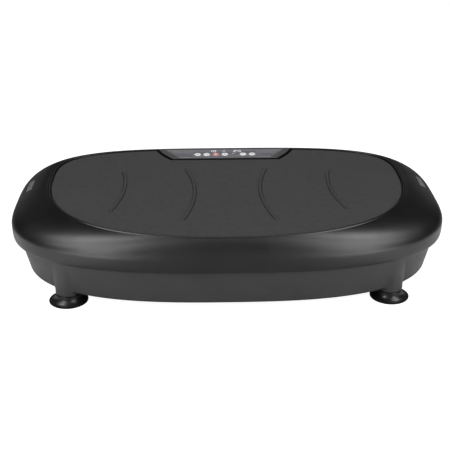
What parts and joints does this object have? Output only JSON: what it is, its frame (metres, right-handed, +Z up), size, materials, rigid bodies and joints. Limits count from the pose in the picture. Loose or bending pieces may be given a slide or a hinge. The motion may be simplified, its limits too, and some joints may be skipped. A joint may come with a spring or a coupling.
{
  "type": "vibration plate",
  "caption": "Low oval exercise platform that rocks side to side on a crank drive, with a ribbed standing mat, a rear key console and suction-cup feet.",
  "frame": {"origin": "centre of the overall box at floor level, under the middle of the mat", "axes": "+X right, +Y towards the console at the rear, +Z up"},
  "size_m": [0.663, 0.385, 0.1281],
  "materials": {
    "cover_black": "satin moulded ABS, black",
    "base_black": "fine-textured moulded ABS, dark grey",
    "mat_rubber": "fine pebble-grained dark grey rubber sheet",
    "console_grey": "moulded plastic, dark grey",
    "lens_grey": "smooth smoked overlay",
    "display_dark": "black display blocks",
    "print_white": "white print and digits",
    "window_dark": "infrared-passing plastic",
    "key_white": "white moulded keys",
    "key_red": "red moulded key",
    "board_green": "solder-masked glass-epoxy board",
    "switch_metal": "tinned switch cans",
    "zinc_steel": "zinc-plated sheet steel",
    "dark_steel": "powder-coated steel",
    "bright_steel": "ground and turned steel",
    "cast_grey": "painted cast housing",
    "cast_alloy": "die-cast alloy",
    "motor_black": "black-painted motor can",
    "magnet_grey": "ferrite",
    "carbon": "carbon brushes",
    "winding": "enamelled copper windings and laminations",
    "bronze": "oil-filled bronze",
    "black_rubber": "moulded black rubber",
    "belt_rubber": "ribbed rubber belt",
    "component_dark": "capacitors, relay and heat sink",
    "fitting_black": "nylon inlet and switch body",
    "cable_black": "PVC-sheathed cable"
  },
  "bodies": {
    "base": {"base_shell": "base_black", "chassis_plate": "zinc_steel", "pivot_pedestal_front": "dark_steel", "pivot_pedestal_rear": "dark_steel", "pivot_pins": "bright_steel", "pillow_block_left": "cast_grey", "pillow_block_right": "cast_grey", "main_bearing_outers": "bright_steel", "motor_can": "motor_black", "motor_end_bells": "cast_alloy", "motor_magnets": "magnet_grey", "motor_brushes": "carbon", "motor_bracket": "dark_steel", "drive_belt": "belt_rubber", "power_board": "board_green", "board_parts": "component_dark", "power_inlet": "fitting_black", "switch_housing": "fitting_black", "suction_cups": "black_rubber", "foot_screws": "zinc_steel", "chassis_screws": "zinc_steel", "bracket_bolts": "zinc_steel", "wiring": "cable_black"},
    "platform": {"top_cover": "cover_black", "mat": "mat_rubber", "console_housing": "console_grey", "console_lens": "lens_grey", "display_board": "board_green", "display_modules": "display_dark", "ir_window": "window_dark", "key_switches": "switch_metal", "platform_plate": "zinc_steel", "platform_ribs": "zinc_steel", "pivot_hanger_front": "dark_steel", "pivot_hanger_rear": "dark_steel", "pivot_bushes": "bronze", "rod_bracket_left": "dark_steel", "rod_bracket_right": "dark_steel", "rod_pins": "bright_steel", "platform_screws": "zinc_steel"},
    "power_key": {"key_power": "key_white"},
    "start_key": {"key_start": "key_white"},
    "stop_key": {"key_stop": "key_red"},
    "mode_key": {"key_mode": "key_white"},
    "slower_key": {"key_slower": "key_white"},
    "faster_key": {"key_faster": "key_white"},
    "power_rocker": {"switch_rocker": "fitting_black"},
    "crank": {"crankshaft": "bright_steel", "crank_pulley": "cast_alloy", "bearing_inners": "bright_steel"},
    "rotor": {"motor_shaft": "bright_steel", "motor_armature": "winding", "motor_pulley": "cast_alloy"},
    "left_rod": {"rod_left": "cast_grey", "rod_bearing_left": "bright_steel", "rod_bush_left": "black_rubber"},
    "right_rod": {"rod_right": "cast_grey", "rod_bearing_right": "bright_steel", "rod_bush_right": "black_rubber"}
  },
  "joints": [
    {"name": "platform_tilt", "type": "hinge", "parent": "base", "child": "platform", "pos_m": [0, 0, 0.092], "axis": [0, 1, 0], "range_deg": [-1.05, 1.05]},
    {"name": "crank_spin", "type": "hinge", "parent": "base", "child": "crank", "pos_m": [0, 0, 0.054], "axis": [1, 0, 0], "continuous": true},
    {"name": "rotor_spin", "type": "hinge", "parent": "base", "child": "rotor", "pos_m": [0, 0.084, 0.0615], "axis": [1, 0, 0], "continuous": true},
    {"name": "left_rod_swing", "type": "hinge", "parent": "crank", "child": "left_rod", "pos_m": [-0.134, 0.0025, 0.054], "axis": [1, 0, 0], "continuous": true},
    {"name": "right_rod_swing", "type": "hinge", "parent": "crank", "child": "right_rod", "pos_m": [0.134, -0.0025, 0.054], "axis": [1, 0, 0], "continuous": true},
    {"name": "power_press", "type": "slide", "parent": "platform", "child": "power_key", "axis": [0, 0, -1], "range_m": [0, 0.0005]},
    {"name": "start_press", "type": "slide", "parent": "platform", "child": "start_key", "axis": [0, 0, -1], "range_m": [0, 0.0005]},
    {"name": "stop_press", "type": "slide", "parent": "platform", "child": "stop_key", "axis": [0, 0, -1], "range_m": [0, 0.0005]},
    {"name": "mode_press", "type": "slide", "parent": "platform", "child": "mode_key", "axis": [0, 0, -1], "range_m": [0, 0.0005]},
    {"name": "slower_press", "type": "slide", "parent": "platform", "child": "slower_key", "axis": [0, 0, -1], "range_m": [0, 0.0005]},
    {"name": "faster_press", "type": "slide", "parent": "platform", "child": "faster_key", "axis": [0, 0, -1], "range_m": [0, 0.0005]},
    {"name": "rocker_tip", "type": "hinge", "parent": "base", "child": "power_rocker", "pos_m": [0.152, 0.163, 0.049], "axis": [1, 0, 0], "range_deg": [-16, 0]}
  ],
  "couplings": [
    {"joint": "rotor_spin", "follows": "crank_spin", "ratio": 3},
    {"joint": "left_rod_swing", "follows": "crank_spin", "ratio": -1},
    {"joint": "right_rod_swing", "follows": "crank_spin", "ratio": -1}
  ]
}
